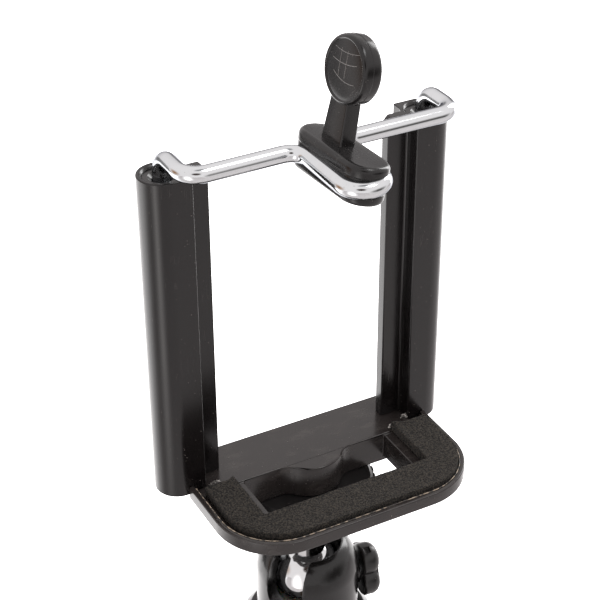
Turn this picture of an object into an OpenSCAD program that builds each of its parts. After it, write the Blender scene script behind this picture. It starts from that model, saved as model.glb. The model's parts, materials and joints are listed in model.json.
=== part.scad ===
// Selfie stick: sprung phone holder on a mini ball head, telescopic pole and foam handle.
// Millimetres, +Z up, front toward -Y. Origin: middle of the foam grip, on the pole's axis.

/* [Phone holder] */
// Distance between the axes of the two rail tubes
rail_spacing = 47.2; // [40:0.2:64]
// Outer radius of each rail tube
rail_radius = 4; // [3.6:0.1:5]
// Height of the rails above the top of the base plate
rail_height = 59; // [50:1:80]
// Bore of the rail tubes that hold the springs (radius)
rail_bore = 2.95; // [2.8:0.05:3.1]
// How far each rail's flange reaches in from the tube axis
flange_reach = 7.4; // [5.5:0.1:8]
// Distance the base plate reaches forward of the rail axes
base_front = 25.7; // [22:0.1:34]
// Width of the front shelf of the base plate
base_width = 46.8; // [42:0.2:56]
// Corner radius of the front shelf
base_corner = 11.3; // [5:0.1:13]
// Thickness of the foam pad
pad_thickness = 1.9; // [1.2:0.1:3]
// How far the foam pad sits off the shelf's middle
pad_shift = 0.5; // [-0.5:0.1:0.5]
// Width of the hole in the base plate
opening_width = 28; // [22:0.5:30]
// Depth of the base plate's middle block
block_depth = 6; // [5:0.5:8]

/* [Wire bail and clip] */
// Wire radius of the bail
wire_radius = 1.4; // [1:0.05:1.6]
// Height of the bail wire above the rail tops when closed
bail_rise = 3.3; // [2.2:0.1:5]
// Distance of the bail's cross bar in front of the rail axes
bar_forward = 9.3; // [8:0.1:12]
// Distance of the loop's front end in front of the rail axes
loop_forward = 25.4; // [22:0.1:30]
// Half the distance between the two legs of the loop
loop_half = 3.3; // [3.2:0.1:6]
// Sideways place of the loop's centre line
loop_side = -1.2; // [-3:0.1:3]
// How far the bail can be pulled up
bail_travel = 28; // [20:1:30]
// Turns in each bail spring
spring_turns = 15; // [8:1:18]
// Lean of the clip on the wire, degrees
clip_lean = 12; // [0:1:14]
// Turn of the clip on the wire, degrees
clip_turn = 4; // [0:1:4]
// Radius of the thumb disc on the clip
thumb_radius = 5.3; // [4:0.1:7]
// Thickness of the thumb disc
thumb_thickness = 3.7; // [2.5:0.1:5]
// Height of the thumb disc's centre above the wire
thumb_height = 14.3; // [12:0.5:20]

/* [Ball head] */
// Radius of the ball
ball_radius = 6.4; // [6:0.1:7]
// Outer radius of the ball housing
housing_radius = 9.4; // [9.2:0.1:10.4]
// Radius of the neck between ball and screw
neck_radius = 3.2; // [2.5:0.1:3.4]
// Radius of the knurled locking disc under the holder
disc_radius = 12.2; // [10:0.1:13]
// Direction the housing's tilt slot faces, degrees from +X
slot_bearing = -147; // [-180:1:0]
// Direction of the clamp knob, degrees from +X
clamp_bearing = -7; // [-30:1:30]
// How far the clamp screw lies below the ball's centre
clamp_drop = 2.7; // [2:0.1:3]
// Radius of the clamp knob over its lobes
knob_radius = 5.6; // [5:0.1:8]
// Distance the holder's rails stand behind the ball's axis
holder_offset = 3; // [0:0.5:8]

/* [Pole and handle] */
// Outer radius of the widest pole section
section_radius = 8; // [7.6:0.1:8.4]
// How much smaller each section is than the one below
section_step = 1; // [0.95:0.05:1.05]
// Wall of the pole sections
section_wall = 0.45; // [0.4:0.05:0.5]
// How far each collapsed section stands above the one below
section_show = 7; // [5:0.5:12]
// How far each section pulls out
section_travel = 96; // [60:1:100]
// Length of the foam grip
grip_length = 98; // [96:1:130]
// Radius of the foam grip
grip_radius = 13; // [12:0.5:16]
// Radius of the hole in the strap eyelet
eyelet_bore = 2; // [1.5:0.1:2.5]

/* [Hidden] */
fit = 0.05;
half_spacing = rail_spacing / 2;
cap_height = 14;
grip_top = grip_length / 2;
grip_low = -grip_length / 2;
cap_low = grip_low - cap_height;
mouth_z = grip_top + 12;
core_inner = section_radius - section_wall + section_step;
core_outer = core_inner + 0.95;
top_show = mouth_z + 8 + 3 * section_show;
collar_z = top_show + 2;
holder_z = collar_z + 52;
ball_z = holder_z - 28;
socket_radius = ball_radius + fit;
shelf_bottom = -1.6;
shelf_top = -0.3;
rim_top = 0.8;
block_half = half_spacing - 3.5;
boss_radius = 6.3;
boss_y = -holder_offset;
nut_radius = 4.4;
stud_radius = 3.175;
bush_depth = 5;
bush_top = rail_height - 0.6;
wire_z = rail_height + bail_rise;
stop_height = 1.6;
leg_end = bush_top - bush_depth - 1.3 * spring_turns - stop_height - bail_travel;
wire_bend = 3.2;
pill_half = 3.7;
clip_front = -loop_forward + wire_radius;
clip_back = -6.6;
clip_mid = -14.5;
clip_side = loop_side + 0.1;
rail_foot = -1;
bush_length = 8;
collar_height = 14.2;
housing_drop = 13.5;
shoe_radius = 2.3;
shoe_out = 7.2;
shoe_travel = 0.35;
knob_in = housing_radius + 0.5;
knob_lobe = 3.1;
knob_depth = 3.6;
$fn = 48;

// Placement helpers

module on_holder() {
    translate([0, holder_offset, holder_z]) children();
}

module on_ball() {
    translate([0, 0, ball_z]) children();
}

// Lay a child's +Z along the clamp screw's axis, starting at the ball's axis.
module on_clamp() {
    on_ball() translate([0, 0, -clamp_drop]) rotate([0, 0, clamp_bearing])
        rotate([0, 90, 0]) children();
}

module on_side(side) {
    on_holder() translate([side * half_spacing, 0, 0]) children();
}

module ring(outer, inner, z0, z1) {
    translate([0, 0, z0]) difference() {
        cylinder(r = outer, h = z1 - z0);
        translate([0, 0, -1]) cylinder(r = inner, h = z1 - z0 + 2);
    }
}

// Handle

module end_cap() {
    rim = grip_radius - 0.5;
    color("#1c1c1e") translate([0, 0, cap_low]) difference() {
        union() {
            rotate_extrude() polygon([[0, 0], [rim - 4, 0], [rim - 1.2, 1], [rim, 3.4],
                [rim, cap_height - 0.8], [rim - 0.8, cap_height], [core_outer, cap_height],
                [core_outer, 6], [core_inner, 6], [core_inner, cap_height], [0, cap_height]]);
            translate([0, 2.2, -3.4]) rotate([90, 0, 0]) cylinder(r = 4.2, h = 4.4);
            translate([-4.2, -2.2, -3.4]) cube([8.4, 4.4, 4]);
        }
        translate([0, 6, -3.4]) rotate([90, 0, 0]) cylinder(r = eyelet_bore, h = 12);
    }
}

module core_tube() {
    color("#3a3a3c") ring(core_outer, core_inner, cap_low + 6, mouth_z - 4);
}

module grip_sleeve() {
    color("#202022") rotate_extrude() polygon([[core_outer, grip_low],
        [grip_radius - 1, grip_low], [grip_radius, grip_low + 2],
        [grip_radius, grip_top - 2], [grip_radius - 1, grip_top], [core_outer, grip_top]]);
}

module handle_collar() {
    shoulder = max(grip_radius - 1, core_outer + 1.2);
    neck = max(grip_radius - 2.4, core_outer + 0.6);
    color("#161618") rotate_extrude() polygon([[section_radius + fit, mouth_z - 4],
        [core_outer, mouth_z - 4], [core_outer, grip_top], [shoulder, grip_top],
        [shoulder, grip_top + 3], [neck, mouth_z - 2], [neck - 0.6, mouth_z],
        [section_radius + 0.6, mouth_z], [section_radius + fit, mouth_z - 0.6]]);
}

// Pole sections, counted from the widest

function tube_radius(i) = section_radius - (i - 1) * section_step;
function tube_top(i) = mouth_z + 8 + (i - 1) * section_show;
function stop_under(i) = i == 1 ? mouth_z - 4 : tube_top(i - 1) - 2.2;
function tube_bottom(i) = stop_under(i) - bush_length - section_travel;

module pole_section(i) {
    r = tube_radius(i);
    bore = r - section_wall;
    lip = r - section_step + fit;
    top = tube_top(i);
    color("#c9ccd0") rotate_extrude() polygon([[bore, tube_bottom(i)], [r, tube_bottom(i)],
        [r, top - 0.6], [r - 0.4, top], [lip, top], [lip, top - 1.6], [bore, top - 2.2]]);
}

module last_section() {
    color("#c9ccd0") ring(tube_radius(5), tube_radius(5) - 0.7, tube_bottom(5), collar_z + 9.9);
}

module section_bush(i) {
    color("#e4e0d6") ring(tube_radius(i) + section_step - section_wall - fit, tube_radius(i),
        tube_bottom(i), tube_bottom(i) + bush_length);
}

// Ball head

module head_collar() {
    color("#141416") translate([0, 0, collar_z]) rotate_extrude() polygon([
        [tube_radius(5), 0], [8, 0], [8.6, 1], [11.2, 7.4], [12.4, 9], [12.4, 12.4],
        [10.8, collar_height], [housing_radius, collar_height], [housing_radius, 24 - housing_drop],
        [ball_radius, 24 - housing_drop], [ball_radius, 14.8], [0, 14.8], [0, 10],
        [tube_radius(5), 10]]);
}

module ball_housing() {
    wall_out = housing_radius;
    color("#0f0f10") difference() {
        union() {
            on_ball() difference() {
                rotate_extrude() polygon([[socket_radius, -housing_drop],
                    [wall_out, -housing_drop], [wall_out, 1.2],
                    [wall_out - 0.15, 2.6], [wall_out - 0.6, 4.1], [wall_out - 1.35, 5.5],
                    [wall_out - 2.2, 6.5], [wall_out - 2.9, 7], [6.2, 7], [5.2, 2], [5.2, 0],
                    [socket_radius, 0]]);
                sphere(r = socket_radius, $fn = 64);
            }
            on_clamp() translate([0, 0, housing_radius - 1.4]) cylinder(r = 3, h = 1.6);
        }
        on_ball() rotate([0, 0, slot_bearing]) slot_cut();
        on_clamp() translate([0, 0, 3]) cylinder(r = shoe_radius + fit, h = shoe_out + shoe_travel - 2.95);
        on_clamp() cylinder(r = 2 + fit, h = 14);
        on_ball() sphere(r = socket_radius, $fn = 64);
    }
}

// Round-bottomed slot that lets the neck swing down to level.
module slot_cut() {
    w = neck_radius + 0.35;
    rotate([0, 90, 0]) cylinder(r = w, h = 14);
    translate([0, -w, 0]) cube([14, 2 * w, 12]);
}

module ball_seat() {
    color("#e8e4da") on_ball() difference() {
        ring(socket_radius, 2.2, -9, -5.2);
        sphere(r = socket_radius, $fn = 64);
    }
}

module pressure_shoe() {
    color("#b8924a") difference() {
        on_clamp() translate([0, 0, 3]) cylinder(r = shoe_radius, h = shoe_out - 3);
        on_ball() sphere(r = socket_radius, $fn = 64);
    }
}

module clamp_screw() {
    tip = shoe_out + shoe_travel + fit;
    color("#b9bcc2") on_clamp() translate([0, 0, tip]) cylinder(r = 2, h = knob_in + 2.4 - tip);
}

// Three rounded lobes round a hub, each with a small recess at its tip.
module clamp_knob() {
    reach = knob_radius - knob_lobe;
    color("#141415") on_clamp() translate([0, 0, knob_in]) rotate(81) difference() {
        union() {
            cylinder(r = knob_lobe - 0.1, h = knob_depth - 0.3);
            for (a = [0:120:240]) rotate(a) translate([reach, 0, 0]) rotate_extrude() polygon([
                [0, 0], [knob_lobe - 0.3, 0], [knob_lobe, 0.3], [knob_lobe, 1.9], [knob_lobe - 0.3, 2.7],
                [knob_lobe - 0.9, 3.25], [knob_lobe - 1.7, knob_depth], [0, knob_depth]]);
        }
        translate([0, 0, -1]) cylinder(r = 2, h = 3.4);
        for (a = [0:120:240]) rotate(a) translate([knob_radius, 0, 1.2])
            cube([0.9, 1.2, 1.1], center = true);
    }
}

module ball_stud() {
    color("#d9dbdf") on_ball() union() {
        sphere(r = ball_radius, $fn = 64);
        cylinder(r = neck_radius, h = 13);
        translate([0, 0, 11]) cylinder(r1 = neck_radius, r2 = 5, h = 2);
        translate([0, 0, 13]) cylinder(r = 5, h = 1.6);
        translate([0, 0, 14]) cylinder(r = stud_radius, h = 12);
        translate([0, 0, 26]) cylinder(r1 = stud_radius, r2 = stud_radius - 0.6, h = 0.6);
    }
}

module lock_disc() {
    color("#17171a") on_ball() translate([0, 0, 18]) difference() {
        union() {
            linear_extrude(3.9 - 0.6) difference() {
                circle(r = disc_radius, $fn = 96);
                for (a = [0:10:350]) rotate(a) translate([disc_radius + 0.25, 0]) circle(r = 0.6, $fn = 16);
            }
            translate([0, 0, 3.3]) cylinder(r1 = disc_radius - 0.4, r2 = disc_radius - 1, h = 0.6);
        }
        translate([0, 0, -1]) cylinder(r = stud_radius + 0.04, h = 8);
        translate([0, 0, -0.1]) cylinder(r1 = 8.6, r2 = 7.6, h = 1.3);
    }
}

// Phone holder

module tripod_nut() {
    color("#c8a24c") on_holder() translate([0, boss_y, 0]) difference() {
        ring(nut_radius, stud_radius + 0.04, -block_depth, -1.2);
        translate([0, 0, -block_depth - 0.01])
            cylinder(r1 = stud_radius + 0.5, r2 = stud_radius, h = 0.5);
    }
}

// Flat outline of the shelf, drawn inset by a margin.
module shelf_outline(margin, back) {
    w = base_width / 2 - margin;
    f = -base_front + margin;
    c = base_corner - margin;
    translate([-w, f + c]) square([2 * w, back - f - c]);
    translate([-w + c, f]) square([2 * w - 2 * c, c + 1]);
    for (s = [-1, 1]) translate([s * (w - c), f + c]) circle(r = c);
}

// Solid middle block with its rounded boss for the tripod nut.
module block_outline() {
    f = 3;
    y = -6;
    reach = sqrt(pow(boss_radius + f, 2) - pow(boss_y - y + f, 2));
    translate([-block_half, y]) square([2 * block_half, 4.8 - y]);
    translate([0, boss_y]) circle(r = boss_radius);
    for (s = [-1, 1]) difference() {
        polygon([[0, boss_y], [s * reach, y - f], [s * reach, y]]);
        translate([s * reach, y - f]) circle(r = f);
    }
}

module opening_outline(margin) {
    w = opening_width / 2 + margin;
    translate([-w, -17 - margin]) square([2 * w, 12 + margin]);
}

module base_plate() {
    color("#1b1a1a") on_holder() difference() {
        union() {
            translate([0, 0, shelf_bottom]) linear_extrude(shelf_top - shelf_bottom) difference() {
                shelf_outline(0, -rail_radius);
                opening_outline(0);
            }
            translate([0, 0, shelf_bottom]) linear_extrude(rim_top - shelf_bottom) difference() {
                shelf_outline(0, -rail_radius - fit);
                shelf_outline(0.9, 0);
            }
            translate([0, 0, -5]) linear_extrude(5 + shelf_top) difference() {
                opening_outline(1.2);
                opening_outline(0);
            }
            translate([0, 0, -block_depth]) linear_extrude(block_depth) block_outline();
        }
        translate([0, boss_y, -block_depth - 1]) cylinder(r = nut_radius, h = block_depth - 0.2);
    }
}

module foam_pad() {
    color("#3b3833") on_holder() translate([0, 0, shelf_top]) linear_extrude(pad_thickness) difference() {
        translate([pad_shift, 0]) shelf_outline(1.5, -6.2);
        translate([-opening_width / 2 - 1.7, -17.4]) square([opening_width + 3.4, 14]);
    }
}

// Right-hand rail section, its tube centred on the origin.
module rail_profile() {
    circle(r = rail_radius);
    translate([-3.5, -rail_radius]) square([3.5, 2 * rail_radius]);
    translate([-flange_reach, -1.15]) square([flange_reach, 2.05]);
}

module rail_body() {
    difference() {
        union() {
            linear_extrude(rail_height) rail_profile();
            translate([0, 0, rail_foot]) linear_extrude(2) intersection() {
                rail_profile();
                translate([-3.5, -6]) square([10, 12]);
            }
        }
        translate([0, 0, -3]) cylinder(r = rail_bore, h = rail_height + 6);
        translate([0, 0, rail_height - 0.5]) cylinder(r1 = rail_bore, r2 = rail_bore + 0.51, h = 0.51);
        translate([-flange_reach, -5, rail_height]) rotate([0, 45, 0]) cube([1.2, 12, 1.2], center = true);
    }
}

module right_rail() {
    color("#191818") on_side(1) rail_body();
}

module left_rail() {
    color("#191818") on_side(-1) mirror([1, 0, 0]) rail_body();
}

module rail_bush(side) {
    color("#101011") on_side(side) difference() {
        ring(rail_bore, wire_radius + fit, bush_top - bush_depth, bush_top);
        translate([0, 0, bush_top - 0.7]) cylinder(r1 = wire_radius, r2 = wire_radius + 0.9, h = 0.8);
    }
}

module rail_plug(side) {
    color("#101011") on_side(side) translate([0, 0, rail_foot]) cylinder(r = rail_bore, h = 3);
}

module leg_stop(side) {
    color("#a8abb0") on_side(side) ring(2.6, wire_radius, leg_end, leg_end + stop_height);
}

// Open coil spring built as a round wire swept along a helix with closed end turns.
module coil(mean, wire, turns, z0, z1) {
    seg = 18;
    sides = 6;
    n = turns * seg;
    low = z0 + wire;
    span = z1 - z0 - 2 * wire;
    dead = 2 * wire / span;
    function climb(t) = let (u = t * turns)
        u < 1 ? u * dead
        : u > turns - 1 ? 1 - (turns - u) * dead
        : dead + (u - 1) / (turns - 2) * (1 - 2 * dead);
    pts = [for (i = [0:n]) for (k = [0:sides - 1])
        let (a = 360 * i / seg, b = 360 * k / sides, r = mean + wire * cos(b))
        [r * cos(a), r * sin(a), low + span * climb(i / n) + wire * sin(b)]];
    skin = [for (i = [0:n - 1]) for (k = [0:sides - 1])
        let (k2 = (k + 1) % sides)
        [i * sides + k, (i + 1) * sides + k, (i + 1) * sides + k2, i * sides + k2]];
    ends = [[for (k = [0:sides - 1]) k], [for (k = [sides - 1:-1:0]) n * sides + k]];
    polyhedron(points = pts, faces = concat(skin, ends), convexity = 10);
}

module rail_spring(side) {
    color("#9a9da3") on_side(side)
        coil(2.12, 0.3, spring_turns, leg_end + stop_height + 0.05, bush_top - bush_depth - 0.05);
}

// Quarter bend in the flat, from heading +X to heading +Y, starting at the origin.
module flat_bend(r) {
    translate([0, wire_bend, 0]) rotate([0, 0, -90]) rotate_extrude(angle = 90)
        translate([wire_bend, 0]) circle(r = r);
}

module rod_x(r, x0, x1, y) {
    translate([x0, y, 0]) rotate([0, 90, 0]) cylinder(r = r, h = x1 - x0);
}

module rod_y(r, x, y0, y1) {
    translate([x, y1, 0]) rotate([90, 0, 0]) cylinder(r = r, h = y1 - y0);
}

// One half of the bail, drawn on the +X side; edge is the loop leg's place from the centre.
module bail_half(r, edge) {
    b = wire_bend;
    translate([half_spacing, 0, leg_end - wire_z]) cylinder(r = r, h = wire_z - leg_end - b);
    translate([half_spacing, -b, -b]) rotate([90, 0, 90]) rotate_extrude(angle = 90)
        translate([b, 0]) circle(r = r);
    rod_y(r, half_spacing, -bar_forward + b, -b);
    translate([half_spacing - b, -bar_forward, 0]) flat_bend(r);
    rod_x(r, edge + b, half_spacing - b, -bar_forward);
    translate([edge + b, -bar_forward - b, 0]) rotate([0, 0, 90]) rotate_extrude(angle = 90)
        translate([b, 0]) circle(r = r);
    rod_y(r, edge, -loop_forward + loop_half, -bar_forward - b);
}

module bail_shape(r) {
    bail_half(r, loop_half + loop_side);
    mirror([1, 0, 0]) bail_half(r, loop_half - loop_side);
    translate([loop_side, -loop_forward + loop_half, 0]) rotate([0, 0, 180])
        rotate_extrude(angle = 180) translate([loop_half, 0]) circle(r = r);
}

module wire_bail() {
    color("#dfe2e6") on_holder() translate([0, 0, wire_z]) bail_shape(wire_radius);
}

// Rounded bar between two ends, with softened rims.
module pill(half, y0, y1, z0, z1, soft) {
    hull() for (y = [y0 + half, y1 - half]) translate([0, y, 0])
        rotate_extrude($fn = 32) polygon([
            [0, z0], [half - soft, z0], [half - 0.3 * soft, z0 + 0.3 * soft],
            [half, z0 + soft], [half, z1 - soft], [half - 0.3 * soft, z1 - 0.3 * soft],
            [half - soft, z1], [0, z1]]);
}

// Rubber block moulded round the loop of the wire, with an arm up to the thumb disc.
module clip_block() {
    color("#161515") on_holder() translate([0, 0, wire_z]) difference() {
        translate([clip_side, -17, 0]) rotate([0, 0, clip_turn]) rotate([0, clip_lean, 0])
            translate([0, 17, 0]) clip_solid();
        bail_shape(wire_radius + fit, $fn = 24);
    }
}

module clip_solid() {
    pill(pill_half, clip_front - 0.2, clip_back, 1, 3, 0.9);
    pill(pill_half - 0.8, clip_front + 0.2, clip_back - 0.7, -1.7, 1.2, 0.1);
    pill(pill_half, clip_front - 0.2, clip_back, -3.2, -1.5, 0.8);
    hull() {
        translate([-1.4, clip_mid - 2.4, 2.4]) cube([2.8, 5.2, 0.4]);
        translate([-1.3, clip_mid - 2, thumb_height - 2]) cube([2.6, 4.2, 0.4]);
    }
    translate([0, clip_mid, thumb_height]) rotate([0, 90, 0]) thumb_disc();
}

module thumb_disc() {
    h = thumb_thickness / 2;
    r = thumb_radius;
    rotate_extrude($fn = 64) polygon([[0, -h + 0.25], [r - 0.9, -h + 0.25], [r - 0.6, -h],
        [r - 0.25, -h + 0.15], [r, -h + 0.6], [r, h - 0.6], [r - 0.25, h - 0.15],
        [r - 0.6, h], [r - 0.9, h - 0.25], [0, h - 0.25]]);
}

end_cap();
core_tube();
grip_sleeve();
handle_collar();
pole_section(1);  // pole_section_1
pole_section(2);  // pole_section_2
pole_section(3);  // pole_section_3
pole_section(4);  // pole_section_4
last_section();  // pole_section_5
section_bush(1);  // section_bush_1
section_bush(2);  // section_bush_2
section_bush(3);  // section_bush_3
section_bush(4);  // section_bush_4
section_bush(5);  // section_bush_5
head_collar();
ball_housing();
ball_seat();
pressure_shoe();
clamp_screw();
clamp_knob();
ball_stud();
lock_disc();
tripod_nut();
base_plate();
foam_pad();
left_rail();
right_rail();
rail_bush(-1);  // left_bush
rail_bush(1);  // right_bush
rail_plug(-1);  // left_plug
rail_plug(1);  // right_plug
rail_spring(-1);  // left_spring
rail_spring(1);  // right_spring
leg_stop(-1);  // left_leg_stop
leg_stop(1);  // right_leg_stop
wire_bail();
clip_block();
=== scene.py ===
# %% [markdown]
# # A sprung phone holder on a pocket selfie stick
# The model comes in as a fixed frame: every part already has its place and its size in metres,
# with +Z up the pole and -Y toward the front. This lesson gives each part its finish: rounded
# edges, foam with real pores, bright bent wire, and plastics that show how they were moulded.
# It ends with the light, the floor and the camera.

# %% The frame
import json
import math

import bmesh
import bpy
from mathutils import Matrix, Vector, noise

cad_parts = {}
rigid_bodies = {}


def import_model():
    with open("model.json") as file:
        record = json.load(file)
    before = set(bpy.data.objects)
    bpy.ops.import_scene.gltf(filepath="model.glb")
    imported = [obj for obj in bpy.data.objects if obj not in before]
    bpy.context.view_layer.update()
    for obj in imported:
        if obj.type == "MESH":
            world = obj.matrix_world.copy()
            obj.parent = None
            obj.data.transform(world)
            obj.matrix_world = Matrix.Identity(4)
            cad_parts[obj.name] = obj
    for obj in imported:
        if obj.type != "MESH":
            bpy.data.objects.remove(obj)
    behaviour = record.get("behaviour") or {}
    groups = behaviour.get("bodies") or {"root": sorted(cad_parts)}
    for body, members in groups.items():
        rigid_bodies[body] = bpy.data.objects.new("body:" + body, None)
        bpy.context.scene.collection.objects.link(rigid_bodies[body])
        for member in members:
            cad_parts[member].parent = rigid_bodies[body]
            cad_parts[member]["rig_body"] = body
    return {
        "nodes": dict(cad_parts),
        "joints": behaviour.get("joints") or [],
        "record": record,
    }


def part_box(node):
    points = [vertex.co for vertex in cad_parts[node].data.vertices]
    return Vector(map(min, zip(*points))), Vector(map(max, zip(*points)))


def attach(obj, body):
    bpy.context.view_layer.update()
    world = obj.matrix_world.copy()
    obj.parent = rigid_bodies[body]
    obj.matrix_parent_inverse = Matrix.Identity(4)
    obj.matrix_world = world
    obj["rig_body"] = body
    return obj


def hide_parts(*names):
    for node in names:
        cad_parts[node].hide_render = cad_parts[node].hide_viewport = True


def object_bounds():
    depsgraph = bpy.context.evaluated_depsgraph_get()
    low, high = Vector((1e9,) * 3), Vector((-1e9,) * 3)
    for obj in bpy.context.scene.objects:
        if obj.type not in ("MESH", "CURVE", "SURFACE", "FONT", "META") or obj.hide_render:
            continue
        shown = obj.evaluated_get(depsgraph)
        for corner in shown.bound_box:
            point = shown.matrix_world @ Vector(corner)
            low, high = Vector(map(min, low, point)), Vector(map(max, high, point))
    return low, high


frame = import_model()
cad_box = [list(corner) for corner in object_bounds()]
scene = bpy.context.scene
MM = 0.001

# %% [markdown]
# ## Landmarks
# Places are read from the frame. A rail's box gives the tube's axis, the turning joint of the
# holder gives the top face of its base plate, and the wire's own box gives its height. A size that
# a box can't tell, such as the radius of a bend, is a named value in millimetres, in the cell that
# first needs it. Every new piece is then placed from the middle of the base plate's top face.

# %% Landmarks of the holder
joints = {joint["name"]: joint for joint in frame["joints"]}
rail_low, rail_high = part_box("right_rail")
wire_low, wire_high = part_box("wire_bail")
WIRE_RADIUS = 1.4
RAIL_RADIUS = 4.0
holder_y = (rail_low.y + rail_high.y) / 2
holder_z = joints["holder_turn"]["pos_m"][2]
rail_x = (rail_high.x - RAIL_RADIUS * MM) / MM
wire_z = (wire_high.z - holder_z) / MM - WIRE_RADIUS


def on_holder(x, y, z):
    """A point given in millimetres from the middle of the base plate's top face."""
    return Vector((x * MM, holder_y + y * MM, holder_z + z * MM))


print(f"rail axes at {rail_x:.1f} mm, wire {wire_z:.1f} mm above the base plate")

# %% [markdown]
# ## Shader maths in plain Python
# A finish is a small program: blotches, grains and scratches are added and multiplied. Wiring
# each Math node by hand hides that, so a thin class wraps one output socket and turns `+`, `-`,
# `*` and `abs` into nodes. Every other node comes from one method, which takes the node's type,
# its settings and what goes into its sockets.

# %% Sockets that can be added and multiplied
class Signal:
    """One output socket of a material, with arithmetic."""

    def __init__(self, finish, output):
        self.finish = finish
        self.output = output

    def maths(self, operation, first, second):
        return self.finish.node("ShaderNodeMath", {"operation": operation}, {0: first, 1: second})

    def __add__(self, other):
        return self.maths("ADD", self, other)

    def __sub__(self, other):
        return self.maths("SUBTRACT", self, other)

    def __rsub__(self, other):
        return self.maths("SUBTRACT", other, self)

    def __mul__(self, other):
        return self.maths("MULTIPLY", self, other)

    def __abs__(self):
        return self.maths("ABSOLUTE", self, 0.0)

    __radd__ = __add__
    __rmul__ = __mul__


# %% [markdown]
# ## A kit of patterns
# A real surface varies at several sizes at once: clouds of a centimetre, patches of a few
# millimetres and grain that is finer still. Noise at each of these sizes could be set up again in
# every material, but then one material's scales could never be compared with another's. So every
# finish has the same few patterns, and each takes its size in millimetres on the object.

# %% A material with its own kit of patterns
EVEN = (1, 1, 1)
RUBBED_AREA = 6
HAIR_WIDTH = 0.012


class Finish:
    """A Principled material whose patterns are measured in millimetres on the object."""

    def __init__(self, name, looks):
        self.material = bpy.data.materials.new(name)
        self.material.use_nodes = True
        self.tree = self.material.node_tree
        self.shader = self.tree.nodes["Principled BSDF"]
        self.place = self.node("ShaderNodeTexCoord", {}, {}, "Object")
        for socket, value in looks.items():
            self.give(socket, value)

    def feed(self, socket, value):
        """Links a signal to a socket, or sets the socket to a plain value."""
        if isinstance(value, Signal):
            self.tree.links.new(value.output, socket)
        else:
            socket.default_value = value

    def give(self, socket, value):
        """Sets or links one socket of the shader."""
        self.feed(self.shader.inputs[socket], value)

    def node(self, kind, settings, inputs, output=0):
        """Adds a node: its settings first, then its sockets, by place or by identifier."""
        made = self.tree.nodes.new(kind)
        for name, value in settings.items():
            setattr(made, name, value)
        by_name = {socket.identifier: socket for socket in made.inputs}
        for key, value in inputs.items():
            self.feed(made.inputs[key] if isinstance(key, int) else by_name[key], value)
        return Signal(self, made.outputs[output])

    def blotches(self, size, detail=2.0, stretch=EVEN, shift=0.0):
        """Soft patches, 0 to 1, about size millimetres across; stretch draws them out."""
        scale = [1 / (size * MM * s) for s in stretch]
        moved = self.node("ShaderNodeMapping", {}, {
            "Vector": self.place, "Location": (shift, shift, shift), "Scale": scale})
        return self.node("ShaderNodeTexNoise", {}, {"Vector": moved, "Scale": 1.0, "Detail": detail})

    def step(self, signal, low, high):
        """0 below low, 1 above high, and smooth between them."""
        return self.node("ShaderNodeMapRange", {"interpolation_type": "SMOOTHSTEP"}, {
            "Value": signal, "From Min": low, "From Max": high})

    def scratches(self, size, stretch, share, shift=0.0):
        """Thin hairlines: the places where a stretched pattern crosses its middle value."""
        line = abs(self.blotches(size, 2.0, stretch, shift) - 0.5)
        rubbed = self.blotches(size * RUBBED_AREA, 1.0, EVEN, shift + 3.0)
        return (1 - self.step(line, 0.0, HAIR_WIDTH)) * self.step(rubbed, 1 - share, 1.1 - share)

    def blend(self, mask, first, second):
        """A colour that goes from first to second as mask goes from 0 to 1."""
        return self.node("ShaderNodeMix", {"data_type": "RGBA"}, {
            "Factor_Float": mask, "A_Color": first, "B_Color": second}, "Result")

    def relief(self, height):
        """Turns a height in millimetres into surface relief."""
        self.give("Normal", self.node("ShaderNodeBump", {}, {
            "Strength": 1.0, "Distance": MM, "Height": height}))


def grey(red, green, blue, brightness=1.0):
    """A linear colour with full alpha."""
    return (red * brightness, green * brightness, blue * brightness, 1.0)


# %% [markdown]
# ## Moulded plastic
# The rails, the base plate and the head are injection moulded. Real mouldings are never one
# colour: the flow of the plastic leaves faint clouds, the tool's polish varies, dust sticks, and
# the packing rubs fine hairlines. Each part could have its own material, but they come from one
# kind of machine and age alike. So one recipe serves all of them, and its arguments are the gloss,
# the wear, the dust and the haze. Hairlines run along a rail, and across the base plate.

# %% The moulded plastics
ALONG_RAIL, ACROSS_BASE = (1, 1, 26), (12, 5, 1)


def moulded(name, tint, roughness, grain_depth, wear=0.3, dust=0.5, haze=0.0, rub=ALONG_RAIL):
    """Black plastic: clouds, uneven polish, hairlines, whitish scuffs and specks of dust."""
    finish = Finish(name, {"IOR": 1.5})
    cloud = finish.blotches(14, 3.0)
    patch = finish.blotches(3.2, 2.0, (1, 1, 2.5), 5.0)
    grain = finish.blotches(0.16, 2.0)
    waves = finish.blotches(5.0, 1.0, (1, 1, 3), 2.0)
    hairs = finish.scratches(0.9, rub, wear, 11.0)
    scuffs = finish.step(finish.blotches(2.4, 4.0, (2.2, 1, 0.8), 31.0), 0.50, 0.78) * haze
    specks = finish.step(finish.blotches(0.30, 1.0, EVEN, 21.0), 0.765, 0.80) * dust
    polish = 0.10 * (patch - 0.5) + 0.12 * (cloud - 0.5)
    body = finish.blend(cloud, grey(*tint, 0.75), grey(*tint, 1.25))
    hazy = finish.blend(scuffs, body, grey(0.075, 0.066, 0.060))
    worn = finish.blend(hairs * 0.10, hazy, grey(0.20, 0.18, 0.17))
    finish.give("Base Color", finish.blend(specks, worn, grey(0.26, 0.23, 0.21)))
    finish.give("Roughness", roughness + polish + 0.10 * hairs + 0.35 * specks + 0.2 * scuffs)
    finish.relief(grain * grain_depth + waves * 0.010 + specks * 0.008)
    return finish.material


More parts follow.
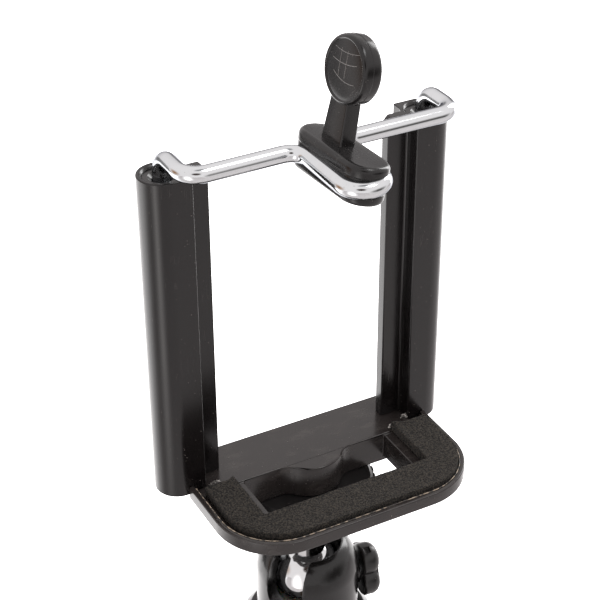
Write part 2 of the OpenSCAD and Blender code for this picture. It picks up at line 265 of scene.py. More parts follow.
finishes = {
    "handle_black": moulded("handle black", (0.020, 0.020, 0.022), 0.42, 0.004),
    "head_black": moulded("head black", (0.005, 0.0044, 0.0044), 0.20, 0.0006, 0.25, 0.2),
    "knob_black": moulded("knob black", (0.009, 0.008, 0.008), 0.30, 0.002, 0.3, 0.4),
    "base_black": moulded("base black", (0.020, 0.0165, 0.0155), 0.22, 0.0008, 0.3, 0.6, 0.35,
                          ACROSS_BASE),
    "rail_black": moulded("rail black", (0.0052, 0.0042, 0.0043), 0.22, 0.0008, 0.4, 0.6),
}
print(len(finishes), "moulded plastics")

# %% [markdown]
# ## Rubber and nylon
# The clip is a harder rubber with a satin skin: it is black like the plastics, but it shines less
# at a glance, and its skin has a faint bloom that a little sheen can give. The slide bushes and
# the ball seat are natural nylon, which lets light in under its surface. Nylon could be a plain
# cream colour, but then its thin edges would look like chalk, so it has some subsurface weight.

# %% Rubber and nylon
ACROSS_CLIP = (1, 9, 3)
NYLON_GLOW_DEPTH = 0.6


def rubber(name, tint, roughness):
    """Satin rubber with fine hairlines and a few specks."""
    finish = Finish(name, {"IOR": 1.48, "Sheen Weight": 0.05, "Sheen Roughness": 0.4})
    cloud = finish.blotches(4.0, 3.0)
    grain = finish.blotches(0.12, 2.0)
    hairs = finish.scratches(0.8, ACROSS_CLIP, 0.45, 4.0)
    specks = finish.step(finish.blotches(0.28, 1.0, EVEN, 9.0), 0.76, 0.80)
    body = finish.blend(cloud, grey(*tint, 0.75), grey(*tint, 1.3))
    worn = finish.blend(hairs * 0.15, body, grey(0.17, 0.155, 0.15))
    finish.give("Base Color", finish.blend(specks * 0.6, worn, grey(0.3, 0.27, 0.25)))
    finish.give("Roughness", roughness + 0.14 * (cloud - 0.5) + 0.12 * hairs + 0.3 * specks)
    finish.relief(grain * 0.0010 + cloud * 0.02 - hairs * 0.001)
    return finish.material


def nylon(name, tint):
    """Natural nylon with light under its skin."""
    finish = Finish(name, {"IOR": 1.53, "Subsurface Weight": 0.25,
                           "Subsurface Scale": NYLON_GLOW_DEPTH * MM})
    cloud = finish.blotches(3.0, 3.0)
    grain = finish.blotches(0.2, 2.0, (1, 1, 3))
    finish.give("Base Color", finish.blend(cloud, grey(*tint, 0.88), grey(*tint, 1.05)))
    finish.give("Roughness", 0.38 + 0.15 * (grain - 0.5))
    finish.relief(grain * 0.002)
    return finish.material


finishes["clip_rubber"] = rubber("clip rubber", (0.0055, 0.0048, 0.0048), 0.20)
finishes["bush_nylon"] = nylon("bush nylon", (0.78, 0.74, 0.64))
print("finishes so far:", ", ".join(finishes))

# %% [markdown]
# ## Metals
# Chrome plate is almost a mirror: only faint smears and pinholes break it. Drawn and turned
# metals carry the marks of the tool: lines along a drawn tube, rings round a turned screw. The
# same stretched pattern makes both, drawn out along one axis. A white room would make a chromed
# edge vanish, so the tint at a grazing angle is kept dark, which is how plate looks in a studio
# with dark curtains at its sides: the dark edge is a painted reflection of such curtains.

# %% The metals
ALONG_POLE, ROUND_POLE = (1, 1, 40), (14, 14, 1)
# a painted reflection: the chrome's grazing edge is tinted dark as if it mirrored dark curtains
DARK_EDGE_REFLECTION = grey(0.30, 0.30, 0.32)


def metal(name, tint, roughness, stretch, line_depth, smear, stain=0.0):
    """Bare or plated metal: tool lines, smears, pinholes and brown stain."""
    finish = Finish(name, {"Metallic": 1.0, "Specular Tint": DARK_EDGE_REFLECTION})
    smears = finish.blotches(2.6, 3.0, EVEN, 3.0)
    lines = finish.blotches(0.09, 2.0, stretch)
    pits = finish.step(finish.blotches(0.3, 1.0, EVEN, 14.0), 0.74, 0.78)
    clean = finish.blend(smears, grey(*tint, 0.93), grey(*tint, 1.04))
    tarnished = finish.blend(finish.step(smears, 0.5, 0.8) * stain, clean, grey(0.32, 0.24, 0.16))
    finish.give("Base Color", finish.blend(pits * 0.5, tarnished, grey(0.16, 0.15, 0.14)))
    finish.give("Roughness", roughness + smear * smears + 0.3 * pits)
    finish.relief(lines * line_depth + smears * 0.002)
    return finish.material


finishes.update({
    "wire_chrome": metal("wire chrome", (0.70, 0.72, 0.735), 0.09, EVEN, 0.0001, 0.06, 0.10),
    "ball_chrome": metal("ball chrome", (0.70, 0.71, 0.72), 0.05, EVEN, 0.0001, 0.06, 0.12),
    "pole_steel": metal("pole steel", (0.62, 0.63, 0.65), 0.14, ALONG_POLE, 0.0003, 0.10),
    "tube_core": metal("dark tube", (0.10, 0.10, 0.11), 0.30, ALONG_POLE, 0.0004, 0.10),
    "screw_steel": metal("screw steel", (0.58, 0.59, 0.61), 0.22, EVEN, 0.0006, 0.12, 0.2),
    "stop_steel": metal("stop steel", (0.50, 0.51, 0.53), 0.26, ROUND_POLE, 0.0006, 0.12, 0.3),
    "spring_steel": metal("spring steel", (0.46, 0.47, 0.49), 0.24, EVEN, 0.0004, 0.12, 0.3),
    "shoe_brass": metal("shoe brass", (0.70, 0.50, 0.22), 0.25, EVEN, 0.0006, 0.15, 0.3),
    "nut_brass": metal("nut brass", (0.78, 0.58, 0.27), 0.18, ROUND_POLE, 0.0006, 0.12, 0.25),
})
print(len(finishes), "finishes with the metals")

# %% [markdown]
# ## Foam
# Foam rubber is a skin of broken bubbles. Light that enters a pore doesn't come back, so each
# pore is a dark dot with a paler rim, and no part of it shines. A colour alone could draw this,
# but it would look printed at the edges. So the larger pores are also made in the mesh further
# down, and this finish adds the smaller ones.

# %% The foams
def foam(name, tint, pore):
    """Cut foam; pore is the size of a cell in millimetres."""
    finish = Finish(name, {"IOR": 1.4, "Specular IOR Level": 0.25, "Sheen Weight": 0.05,
                           "Sheen Roughness": 0.6})
    crumbs = finish.step(finish.blotches(pore, 3.0), 0.44, 0.58)
    pores = finish.step(finish.blotches(pore * 1.5, 2.0, EVEN, 8.0), 0.56, 0.68)
    cloud = finish.blotches(6.0, 2.0)
    lint = finish.step(finish.blotches(pore, 1.0, EVEN, 17.0), 0.70, 0.76)
    body = finish.blend(crumbs, grey(*tint, 0.15), grey(*tint, 2.1))
    # painted shade: the pores are darkened in colour for the light that the cells trap
    pores_shaded = finish.blend(pores * 0.9, body, grey(*tint, 0.05))
    shaded = finish.blend(cloud * 0.35, pores_shaded, grey(*tint, 0.8))
    finish.give("Base Color", finish.blend(lint * 0.5, shaded, grey(*tint, 5.0)))
    finish.give("Roughness", 0.86 + 0.1 * crumbs)
    finish.relief(crumbs * pore * 0.22 - pores * pore * 0.35)
    return finish.material


finishes["pad_foam"] = foam("pad foam", (0.024, 0.0205, 0.0165), 0.26)
finishes["grip_foam"] = foam("grip foam", (0.030, 0.030, 0.032), 0.55)
print(len(finishes), "finishes, one for each of the frame's material slots")

# %% [markdown]
# ## Dressing the frame
# Each node of the frame names a material slot, and the slot says what the part is made of. The
# whole frame wears its finishes first, also the parts that stay hidden, such as the springs and
# the brass insert. Then, whatever is shown later at the limits of a joint, no part is left plain.

# %% Every node of the frame wears its slot's finish
slot_of = {part["node"]: part["material_slot"] for part in frame["record"]["subparts"]}
for node, thing in frame["nodes"].items():
    thing.data.materials.clear()
    thing.data.materials.append(finishes[slot_of[node]])
print(len(slot_of), "nodes dressed")

# %% [markdown]
# ## Pieces that ride on the frame
# The bodies of the frame move: the pole slides out, the ball tilts, the bail pulls up. A new piece
# has to go with the part that it stands for, so it rides on that part's body and takes its slot.
# Parenting would do for one piece, but one helper for all of them can't be forgotten. The meshes
# of the frame come face by face, so a copy is always welded before it is shaped.

# %% Putting a new piece on its body
def place(piece, node, material=None):
    """Adds a piece to a CAD node's body, with the node's finish or one of its own."""
    scene.collection.objects.link(piece)
    slot = slot_of[node]
    piece.data.materials.clear()
    piece.data.materials.append(material or finishes[slot])
    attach(piece, frame["nodes"][node]["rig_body"])
    return piece


# %% Meshes to start from
WELD_DISTANCE = 0.002 * MM


def smooth_mesh(shell, name):
    """Turns a bmesh into a mesh with smooth faces, and frees it."""
    for face in shell.faces:
        face.smooth = True
    mesh = bpy.data.meshes.new(name)
    shell.to_mesh(mesh)
    shell.free()
    return mesh


def welded(node):
    """A bmesh copy of a CAD node without its doubled points."""
    shell = bmesh.new()
    shell.from_mesh(frame["nodes"][node].data)
    bmesh.ops.remove_doubles(shell, verts=shell.verts, dist=WELD_DISTANCE)
    return shell


# %% [markdown]
# ## Rounded edges
# A moulded or turned edge is never a perfect corner, and the thin highlight along it is what
# makes the part look solid. The edges could be rounded in the design, but a highlight only needs
# a few tenths of a millimetre. So each part is copied and welded, and a Bevel modifier rounds the
# edges that are sharper than a turned surface's own facets. A Weighted Normal modifier keeps the
# broad faces flat under smooth shading.

# %% A copy with rounded edges
EDGE_STEPS = 3
CORNER_ANGLE = math.radians(28)


def rounded(node, width):
    """Shows a copy of a CAD node with edges rounded to a width in millimetres."""
    name = node + "_moulding"
    piece = place(bpy.data.objects.new(name, smooth_mesh(welded(node), name)), node)
    bevel = piece.modifiers.new("rounded edges", "BEVEL")
    bevel.width = width * MM
    bevel.segments = EDGE_STEPS
    bevel.limit_method = "ANGLE"
    bevel.angle_limit = CORNER_ANGLE
    bevel.use_clamp_overlap = False
    piece.modifiers.new("flat faces stay flat", "WEIGHTED_NORMAL")
    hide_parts(node)


edge_width = {
    "base_plate": 0.24, "left_rail": 0.22, "right_rail": 0.22, "left_plug": 0.15,
    "right_plug": 0.15, "head_collar": 0.18, "ball_housing": 0.16, "clamp_knob": 0.10,
    "lock_disc": 0.10, "tripod_nut": 0.10, "end_cap": 0.25, "handle_collar": 0.15,
}
for node, width in edge_width.items():
    rounded(node, width)
print("rounded the edges of", len(edge_width), "parts")

# %% [markdown]
# ## The foam pad
# The pad is die-cut from sheet foam and glued in the tray of the shelf. Its cut edges are square
# but soft, and its top is a field of broken cells. A voxel remesh turns the plain slab into an
# even skin of small quads, and each point is then pushed in or out by a pattern of the size of
# the cells. The grip of the handle is a foam tube, so it gets the same treatment, coarser. A
# cloth simulation could do it, but dense foam keeps its cut shape and has nothing to drape.

# %% An even skin over a plain solid
SOFTENING, SOFTENING_PASSES = 0.5, 3


def even_skin(node, name, voxel):
    """A voxel remesh of a CAD node with softened edges, as a mesh."""
    rough = bpy.data.objects.new(name, smooth_mesh(welded(node), name))
    scene.collection.objects.link(rough)
    skin = rough.modifiers.new("even skin", "REMESH")
    skin.mode = "VOXEL"
    skin.voxel_size = voxel * MM
    soft = rough.modifiers.new("soft edges", "SMOOTH")
    soft.factor = SOFTENING
    soft.iterations = SOFTENING_PASSES
    finished = rough.evaluated_get(bpy.context.evaluated_depsgraph_get())
    mesh = bpy.data.meshes.new_from_object(finished)
    bpy.data.objects.remove(rough)
    return mesh


# %% Foam from a plain solid
SWELL_SIZE = 9


def foamed(name, node, voxel, pore, depth, sag):
    """Foam with cells of size pore, depth deep, and slow swells of height sag."""
    mesh = even_skin(node, name, voxel)
    low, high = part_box(node)
    outward = [point.normal.copy() for point in mesh.vertices]
    for point, out in zip(mesh.vertices, outward):
        grain = noise.noise(point.co / (pore * MM))
        swell = noise.noise(point.co / (pore * SWELL_SIZE * MM))
        moved = point.co + out * (depth * (grain - 0.35) + sag * (swell - 0.6)) * MM
        point.co = [max(a, min(b, c)) for a, b, c in zip(low, high, moved)]
    mesh.shade_smooth()
    piece = place(bpy.data.objects.new(name, mesh), node)
    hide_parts(node)
    print(name, len(mesh.polygons), "faces")


foamed("shelf_pad", "foam_pad", voxel=0.20, pore=0.30, depth=0.10, sag=0.04)
foamed("foam_grip", "grip_sleeve", voxel=0.7, pore=1.1, depth=0.10, sag=0.10)

# %% [markdown]
# ## Dried glue
# The rails are fixed in the base plate with a glue that squeezed out at their feet and dried in
# small pale lumps. They are tiny, but they are what the eye finds first on a plain black part. A
# spot of colour would stay flat, so each lump is a ball that noise pushes out of shape, and its
# underside is cut off level, just below the plate's surface.

# %% The glue's finish
glue = Finish("dried glue", {"Roughness": 0.35, "IOR": 1.46})
tacky = glue.step(glue.blotches(0.5, 3.0), 0.45, 0.7)
glue.give("Base Color", glue.blend(tacky, grey(0.05, 0.046, 0.042), grey(0.50, 0.47, 0.44)))
glue.relief(tacky * 0.03)

# %% Lumps of glue at the rails' feet
LUMP_SIZE = 1.7
GLUE_UNDERSIDE = 0.35


def glue_spot(name, middle, size):
    """A lump at a place on the holder, with its half sizes along X, Y and Z."""
    shell = bmesh.new()
    bmesh.ops.create_icosphere(shell, subdivisions=4, radius=1.0)
    for point in shell.verts:
        lump = 0.75 + 0.5 * noise.noise(point.co * LUMP_SIZE + Vector(middle))
        point.co = Vector(c * lump * s * MM for c, s in zip(point.co, size)) + on_holder(*middle)
        point.co.z = max(point.co.z, holder_z - GLUE_UNDERSIDE * MM)
    place(bpy.data.objects.new(name, smooth_mesh(shell, name)), "base_plate", glue.material)


glue_spot("glue_right", (16.4, -4.9, 0.1), (1.1, 0.6, 0.5))
glue_spot("glue_right_back", (19.6, -3.6, 0.3), (0.9, 0.5, 0.7))
glue_spot("glue_left", (-18.6, -4.4, 0.1), (1.3, 0.5, 0.4))
print("three spots of glue")

# %% [markdown]
# ## The wire bail
# One length of chromed spring wire, bent cold over pins: up out of a rail, forward, inward, then
# forward round the loop that the clip is moulded on, and back again the same way. It could be
# modelled as joined tubes, but the highlight would break at each joint. A curve object does it
# best: a list of corners, each with the radius of its bend, and one round section all along.

# %% Bent wire from corners and bend radii
BEND_STEPS = 14


def bent(corners, radii):
    """Points along a path with each corner rounded to its radius."""
    path = [corners[0]]
    for before, corner, after, radius in zip(corners, corners[1:], corners[2:], radii):
        arrive = (corner - before).normalized()
        leave = (after - corner).normalized()
        half_turn = arrive.angle(leave) / 2
        reach = radius * MM * math.tan(half_turn)
        inward = (leave - arrive).normalized()
        centre = corner + inward * radius * MM / math.cos(half_turn)
        spoke = (corner - arrive * reach) - centre
        axis = arrive.cross(leave)
        for k in range(BEND_STEPS + 1):
            turn = 2 * half_turn * k / BEND_STEPS
            path.append(centre + Matrix.Rotation(turn, 3, axis) @ spoke)
    path.append(corners[-1])
    return path


def wire(name, path, radius):
    """A round wire along a path of points in metres."""
    curve = bpy.data.curves.new(name, "CURVE")
    curve.dimensions = "3D"
    curve.bevel_depth = radius * MM
    curve.bevel_resolution = 8
    curve.use_fill_caps = True
    line = curve.splines.new("POLY")
    line.points.add(len(path) - 1)
    for point, at in zip(line.points, path):
        point.co = (*at, 1.0)
    line.use_smooth = True
    return bpy.data.objects.new(name, curve)


# %% [markdown]
# ## Flash on the rim
# Where the two halves of the base plate's mould met, a thin line of flash runs along the inside of
# the shelf's rim. A crease in the mesh could carry it, but a real flash stands up and catches the
# light in flecks. So it is a very fine wire that follows the rim round both front corners, and the
# light it catches is painted into its colour: pale flecks of painted highlight along a dark line.

# %% The line of the rim
SHELF_HALF, SHELF_CORNER = 23.4, 11.3
RIM_WIDTH, RIM_TOP = 0.9, 0.8
RIM_BACK = -5
CORNER_STEPS = 18
plate_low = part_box("base_plate")[0]
rim_half = SHELF_HALF - RIM_WIDTH
rim_front = (plate_low.y - holder_y) / MM + RIM_WIDTH
rim_corner = SHELF_CORNER - RIM_WIDTH
rim_line = [on_holder(-rim_half, RIM_BACK, RIM_TOP)]
for side, start in ((-1, 180), (1, 270)):
    for k in range(CORNER_STEPS + 1):
        a = math.radians(start + 90 * k / CORNER_STEPS)
        rim_line.append(on_holder(side * (rim_half - rim_corner) + rim_corner * math.cos(a),
                                  rim_front + rim_corner + rim_corner * math.sin(a), RIM_TOP))
rim_line.append(on_holder(rim_half, RIM_BACK, RIM_TOP))
print("rim line of", len(rim_line), "points")

# %% The flash
FLASH_RADIUS = 0.08
flash = Finish("mould flash with painted glints", {"Roughness": 0.30, "IOR": 1.5})
# the pale flecks are painted highlight: the light that the flash's edge catches
glint_flecks = flash.step(flash.blotches(0.8, 2.0), 0.42, 0.62)
flash.give("Base Color", flash.blend(glint_flecks, grey(0.05, 0.045, 0.04), grey(0.42, 0.34, 0.26)))
place(wire("rim_flash", rim_line, FLASH_RADIUS), "base_plate", flash.material)

# %% The bail
BAR_FORWARD = 9.3
LOOP_HALF, LOOP_SIDE = 3.3, -1.2
SMALL_BEND, FRONT_BEND = 3.2, LOOP_HALF * 0.995
leg_foot = (wire_low.z - holder_z) / MM
loop_front = (wire_low.y - holder_y) / MM + WIRE_RADIUS


def bail_side(side):
    """Corners from a rail's foot to the front of the loop, on one side."""
    leg = side * rail_x
    edge = LOOP_SIDE + side * LOOP_HALF
    return [on_holder(leg, 0, leg_foot), on_holder(leg, 0, wire_z), on_holder(leg, -BAR_FORWARD, wire_z),
            on_holder(edge, -BAR_FORWARD, wire_z), on_holder(edge, loop_front, wire_z)]


bail_corners = bail_side(-1) + bail_side(1)[::-1]
bail_path = bent(bail_corners, [SMALL_BEND] * 3 + [FRONT_BEND] * 2 + [SMALL_BEND] * 3)
bail = place(wire("bent_wire", bail_path, WIRE_RADIUS), "wire_bail")
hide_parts("wire_bail")
print("bail of", len(bail_path), "points")

# %% [markdown]
# ## The rubber clip
# The clip is moulded round the loop of the wire: a long rounded foot above and below it, a flat
# arm, and a thumb disc with a ribbed face. Boxes and cylinders with bevels could rough it out, but
# its outline at any height is a stadium, a rounded rectangle or a circle, and every rim is soft.
# So each portion is a stack of rings joined by quads, and a rim's roundness is in the rings.

# %% Stacks of rings
def stack(shell, rings):
    """Joins rings of points into a closed skin, with a face on each end."""
    loops = [[shell.verts.new(point) for point in ring] for ring in rings]
    for low, high in zip(loops, loops[1:]):
        for k in range(len(low)):
            shell.faces.new((low[k - 1], low[k], high[k], high[k - 1]))
    shell.faces.new(reversed(loops[0]))
    shell.faces.new(loops[-1])


# %% The rings of a foot
END_STEPS, RIM_STEPS = 24, 6


def stadium(half, back, front, z):
    """A ring with two straight sides along Y and round ends."""
    ring = []
    for middle, start in ((front - half, 0), (back + half, 180)):
        for k in range(END_STEPS + 1):
            a = math.radians(start + 180 * k / END_STEPS)
            ring.append(Vector((half * math.cos(a), middle + half * math.sin(a), z)) * MM)
    return ring


def soft_profile(low, high, bottom, top):
    """Pairs of inset and height that round the lower and the upper rim."""
    quarter = [math.radians(90 * k / RIM_STEPS) for k in range(RIM_STEPS + 1)]
    lower = [(bottom * (1 - math.sin(a)), low + bottom * (1 - math.cos(a))) for a in quarter]
    upper = [(top * (1 - math.sin(a)), high - top * (1 - math.cos(a))) for a in quarter]
    return lower + upper[::-1]


def pill(shell, half, back, front, profile):
    """A long rounded block with a soft rim."""
    stack(shell, [stadium(half - inset, back + inset, front - inset, z) for inset, z in profile])


# %% The rings of an arm and of a disc
ROUND_STEPS, DISC_STEPS = 5, 96


def slab(shell, levels, middle, radius):
    """A tapering bar with rounded corners; levels are (height, half width, half depth)."""
    rings = []
    for z, half_x, half_y in levels:
        ring = []
        for corner, (sx, sy) in enumerate([(1, 1), (-1, 1), (-1, -1), (1, -1)]):
            for k in range(ROUND_STEPS + 1):
                a = math.radians(90 * corner + 90 * k / ROUND_STEPS)
                ring.append(Vector((sx * (half_x - radius) + radius * math.cos(a),
                                    middle + sy * (half_y - radius) + radius * math.sin(a), z)) * MM)
        rings.append(ring)
    stack(shell, rings)


def turned(shell, profile, centre):
    """A disc turned about an axis along X; profile is (distance along X, radius)."""
    turns = [2 * math.pi * k / DISC_STEPS for k in range(DISC_STEPS)]
    stack(shell, [[(centre + Vector((along, radius * math.cos(a), radius * math.sin(a)))) * MM
                   for a in turns] for along, radius in profile])


# %% How the clip sits on the wire
CLIP_LEAN, CLIP_TURN = 12, 4
CLIP_PIVOT, CLIP_SIDE = -17, LOOP_SIDE + 0.1
clip_place = (Matrix.Translation(on_holder(CLIP_SIDE, CLIP_PIVOT, wire_z))
              @ Matrix.Rotation(math.radians(CLIP_TURN), 4, "Z")
              @ Matrix.Rotation(math.radians(CLIP_LEAN), 4, "Y")
              @ Matrix.Translation((0, -CLIP_PIVOT * MM, 0)))


def moulding(name, build, sharp):
    """A piece made by build(shell) in the clip's own frame; edges past sharp degrees stay crisp."""
    shell = bmesh.new()
    build(shell)
    bmesh.ops.recalc_face_normals(shell, faces=shell.faces)
    mesh = smooth_mesh(shell, name)
    mesh.transform(clip_place)
    mesh.set_sharp_from_angle(angle=math.radians(sharp))
    print(name, len(mesh.polygons), "faces")
    return place(bpy.data.objects.new(name, mesh), "clip_block")


# %% [markdown]
# ## The ribs on the disc
# The face of the disc has five fine raised lines for grip: two uprights and three that cross them
# in slow curves. They are coloured paler than the rubber round them, a painted highlight for the
# glint along each ridge. They could be drawn by a bump pattern, but lines this thin need a crisp
# edge, so each is a fine wire that follows the dome of the face.

# %% Lines over a domed face
CLIP_MID = -14.5
DISC_HEIGHT = 14.3
DISC_CENTRE = Vector((0, CLIP_MID, DISC_HEIGHT))
FACE_HALF, FACE_FALL = 1.78, 0.0125
RIB_POINTS, RIB_RADIUS = 16, 0.06


def face_rib(across, along):
    """A thin raised line over the domed face; across and along are functions of -1 to 1."""
    line = []
    for k in range(RIB_POINTS + 1):
        t = 2 * k / RIB_POINTS - 1
        y, z = across(t), along(t)
        dome = FACE_HALF - FACE_FALL * (y * y + z * z)
        line.append(clip_place @ ((DISC_CENTRE + Vector((-dome, y, z))) * MM))
    return line


# %% The five ribs
# the ribs' pale colour is a painted highlight along each ridge
rib_highlight_finish = rubber("ribs with painted highlight", (0.13, 0.12, 0.115), 0.28)
uprights = [face_rib(lambda t, y=y: y + 0.12 * t, lambda t: 0.9 + 2.1 * t) for y in (-0.55, 1.05)]
crossings = [face_rib(lambda t: 3.0 * t, lambda t, z=z: z + 0.35 * t * t - 0.25 * t) for z in (2.6, 0.9)]
crossings.append(face_rib(lambda t: 2.7 * t - 0.4, lambda t: -1.6 + 0.5 * t * t + 0.3 * t))
for number, line in enumerate(uprights + crossings):
    place(wire(f"disc_rib_{number + 1}", line, RIB_RADIUS), "clip_block", rib_highlight_finish)
print(len(uprights + crossings), "ribs")

# %% [markdown]
# ## The foot of the clip
# Two pills hold the wire between them. The upper one carries a parting step, where the two halves
# of its mould met, and a narrower core joins it to the lower one through the loop. Four stacked
# pills give this shape with its step, which one block with bevels would lose.

# %% The foot
CLIP_BACK, FOOT_HALF = -6.6, 3.7
clip_front = loop_front - 0.2


def build_foot(shell):
    pill(shell, FOOT_HALF, clip_front, CLIP_BACK, soft_profile(1.0, 3.0, 0.35, 0.9))
    pill(shell, FOOT_HALF - 0.12, clip_front + 0.12, CLIP_BACK - 0.12, soft_profile(0.2, 1.1, 0.1, 0.1))
    pill(shell, FOOT_HALF - 0.8, clip_front + 0.4, CLIP_BACK - 0.7, soft_profile(-1.7, 1.2, 0.1, 0.1))
    pill(shell, FOOT_HALF, clip_front, CLIP_BACK, soft_profile(-3.2, -1.5, 0.8, 0.3))


foot = moulding("clip_foot", build_foot, 32)

# %% [markdown]
# ## The arm and the thumb disc
# A flat arm rises from the foot and widens where it meets it, so that it doesn't tear off. On top
# of it sits the disc that the thumb lifts. The disc is turned: its profile is half of a section,
# mirrored for the other face, with a low rim round a domed face and a hair of parting line in the
# middle of its edge. A flattened sphere would have neither the rim nor the line.

# %% The arm
ARM_CORNER = 0.35


def build_arm(shell):
    levels = [(2.3, 1.6, 2.9), (2.9, 1.45, 2.65), (3.4, 1.4, 2.6), (12.2, 1.3, 2.1)]
    slab(shell, levels, CLIP_MID + 0.2, ARM_CORNER)


moulding("clip_arm", build_arm, 32)

# %% The thumb disc
half_disc = [(FACE_HALF, 0.02), (1.77, 1.5), (1.72, 2.8), (1.66, 3.7), (1.58, 4.4), (1.56, 4.5),
             (1.68, 4.62), (1.73, 4.74), (1.70, 4.88), (1.58, 5.06), (1.36, 5.22), (1.0, 5.3)]
parting = [(-0.10, 5.30), (-0.05, 5.36), (0.05, 5.36), (0.10, 5.30)]
disc_profile = [(-x, r) for x, r in half_disc] + parting + half_disc[::-1]


def build_disc(shell):
    turned(shell, disc_profile, DISC_CENTRE)


moulding("clip_disc", build_disc, 50)
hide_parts("clip_block")

# %% [markdown]
# ## The room
# Polished black plastic has almost no colour of its own: what it shows is the room, weak where it
# is faced and strong at a glance. So most of the look is in what stands round the object. A built
# room with walls would do, but an even white world is simpler, and cards can then be added to it
# one by one. The plain view transform keeps a white of 1 white.

# %% The room
ROOM = (1.06, 1.015, 1.01)
scene.view_settings.view_transform = "Standard"
world = bpy.data.worlds.new("white room")
world.use_nodes = True
scene.world = world
walls = world.node_tree.nodes["Background"]
walls.inputs["Color"].default_value = grey(*ROOM)
walls.inputs["Strength"].default_value = 1.0
print("room colour", ROOM)

# %% [markdown]
# ## The floor
# The pole's end rests over a wide sheet of white paper, which is dim in front and grows brighter
# toward the back. The dim part is mirrored in the fronts of the rails and keeps them dark, and the
# bright part is mirrored in the top of the base plate. Lamps under the sheet could make that
# change, but it is easier to steer as a glow that follows the depth of the paper.

# %% The floor
FLOOR_HALF, FLOOR_GAP = 3.0, 1.5
GLOW_START, GLOW_END = 0.0, 0.26
floor_shell = bmesh.new()
bmesh.ops.create_grid(floor_shell, x_segments=8, y_segments=8, size=FLOOR_HALF)
floor_mesh = bpy.data.meshes.new("floor")
floor_shell.to_mesh(floor_mesh)
floor_shell.free()
floor = bpy.data.objects.new("floor", floor_mesh)
floor.location.z = cad_box[0][2] - FLOOR_GAP * MM
scene.collection.objects.link(floor)
sweep = Finish("white sweep", {"Roughness": 0.9, "Specular IOR Level": 0.1, "Emission Strength": 1.0})
depth = sweep.node("ShaderNodeSeparateXYZ", {}, {"Vector": sweep.place}, "Y")
bright = sweep.step(depth, GLOW_START, GLOW_END)
paper = sweep.blotches(40.0, 2.0)
sweep.give("Base Color", sweep.blend(paper, grey(0.62, 0.60, 0.60), grey(0.66, 0.64, 0.64)))
sweep.give("Emission Color", sweep.blend(bright, grey(0.02, 0.02, 0.02), grey(2.0, 2.0, 2.0)))
floor_mesh.materials.append(sweep.material)
print(f"floor {FLOOR_GAP} mm under the end cap")

# %% [markdown]
# ## Cards and flags
# Chrome and black gloss need something to mirror besides white. A studio hangs dark flags for the
# streaks, and a bright box for one long highlight. Real cards would also shade the object, and then
# each streak that moves would change the light too. So these cards are seen only in reflections,
# and each is set by where it stands as seen from the object: a bearing from the front, positive
# to the right, and an elevation. A card is round or oval and fades into the room at its edge.

# %% A card that only reflections can see
CARD_EDGE = 0.5


def direction(bearing, elevation):
    """The direction away from the object, from two angles in radians."""
    return Vector((math.sin(bearing) * math.cos(elevation), -math.cos(bearing) * math.cos(elevation),
                   math.sin(elevation)))


def card_finish(name, shade, soft_edge):
    """A glow of one shade that fades into the room's colour and ends in an oval."""
    cloth = Finish(name, {"Base Color": grey(0.0, 0.0, 0.0), "Roughness": 1.0,
                          "Specular IOR Level": 0.0, "Emission Strength": 1.0})
    from_middle = cloth.node("ShaderNodeVectorMath", {"operation": "LENGTH"}, {0: cloth.place}, "Value")
    fade = cloth.step(from_middle, CARD_EDGE - soft_edge, CARD_EDGE)
    cloth.give("Emission Color", cloth.blend(fade, grey(*shade), grey(*ROOM)))
    cloth.give("Alpha", 1 - cloth.step(from_middle, CARD_EDGE - 0.001, CARD_EDGE))
    return cloth.material


def flag(name, bearing, elevation, distance, width, height, shade, soft_edge=0.25):
    """A card on a stand, square to the object, with its sizes in metres."""
    card = bmesh.new()
    bmesh.ops.create_grid(card, x_segments=1, y_segments=1, size=CARD_EDGE)
    mesh = bpy.data.meshes.new(name)
    card.to_mesh(mesh)
    card.free()
    thing = bpy.data.objects.new(name, mesh)
    away = direction(math.radians(bearing), math.radians(elevation))
    thing.location = look_at + away * distance
    thing.rotation_euler = away.to_track_quat("Z", "Y").to_euler()
    thing.scale = (width, height, 1.0)
    scene.collection.objects.link(thing)
    mesh.materials.append(card_finish(name, shade, soft_edge))
    thing.visible_camera = False
    thing.visible_diffuse = False
    thing.visible_shadow = False
    thing.visible_transmission = False


# %% Seven cards
look_at = on_holder(0, -8, 25)
flag("operator flag", -28, 36, 0.9, 0.62, 0.50, (0.05, 0.035, 0.03))
flag("back left flag", -142, -6, 0.8, 0.95, 0.42, (0.28, 0.27, 0.27))
flag("back right flag", 142, 14, 0.8, 0.80, 0.34, (0.45, 0.43, 0.43))
flag("front right flag", 34, 2, 0.8, 1.40, 0.66, (0.10, 0.095, 0.09), 0.45)
flag("ceiling flag", 30, 84, 0.8, 0.60, 0.34, (0.22, 0.22, 0.23), 0.4)
flag("warm card", -112, 6, 0.7, 0.80, 0.60, (0.36, 0.17, 0.06), 0.5)
flag("strip box", -60, -20, 0.36, 0.24, 0.50, (5.0, 4.8, 4.7), 0.85)
print("cards stand round", tuple(round(c, 3) for c in look_at))

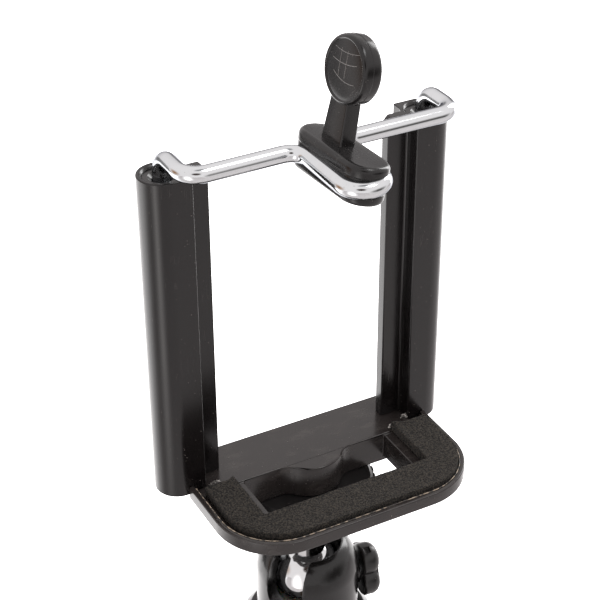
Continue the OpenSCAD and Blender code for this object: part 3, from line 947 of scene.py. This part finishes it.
# %% [markdown]
# ## Soft boxes
# The room already lights the object from all sides, which leaves its forms a little flat. Two
# large soft boxes, one nearly overhead and one from the right, give the tops a soft highlight and
# the floor a soft shadow. Spot lamps would give hard edges that a white studio doesn't have.

# %% Soft boxes
def soft_box(name, position, width, height, power):
    """A rectangular lamp turned toward the object; sizes in metres, power in watts."""
    lamp = bpy.data.lights.new(name, "AREA")
    lamp.shape = "RECTANGLE"
    lamp.size = width
    lamp.size_y = height
    lamp.energy = power
    thing = bpy.data.objects.new(name, lamp)
    thing.location = position
    thing.rotation_euler = (look_at - Vector(position)).to_track_quat("-Z", "Y").to_euler()
    scene.collection.objects.link(thing)
    print(name, power, "W")


soft_box("overhead box", (0.22, -0.22, 0.95), 0.34, 0.34, 1.6)
soft_box("side box", (0.75, 0.25, 0.45), 0.25, 0.6, 3.0)

# %% [markdown]
# ## Camera
# The view is from above and a little to the left, with a fairly long lens so that the rails stay
# nearly parallel. A camera could be aimed with a constraint, but that leaves its roll to chance.
# So its three axes are worked out from its bearing, its height angle and its roll.

# %% The camera
BEARING, ELEVATION, ROLL = (math.radians(angle) for angle in (-28.16, 32.40, -0.35))
CAMERA_DISTANCE, FOCAL_LENGTH = 280.3, 99.73
AIM = on_holder(-0.05, 0, 27.03)
back = direction(BEARING, ELEVATION)
level = (-back).cross(Vector((0, 0, 1))).normalized()
upright = level.cross(-back)
right = level * math.cos(ROLL) + upright * math.sin(ROLL)
up = upright * math.cos(ROLL) - level * math.sin(ROLL)
lens = bpy.data.cameras.new("camera")
lens.lens = FOCAL_LENGTH
lens.shift_x, lens.shift_y = 0.0036, 0.0163
lens.clip_start = 0.01
camera = bpy.data.objects.new("camera", lens)
eye = AIM + back * CAMERA_DISTANCE * MM
camera.matrix_world = Matrix.Translation(eye) @ Matrix((right, up, back)).transposed().to_4x4()
scene.collection.objects.link(camera)
scene.camera = camera
print("camera at", tuple(round(c, 3) for c in eye))

# %% [markdown]
# ## Sizes
# The frame's own box, as it was loaded, is printed.

# %% Sizes
print("cad box", cad_box)
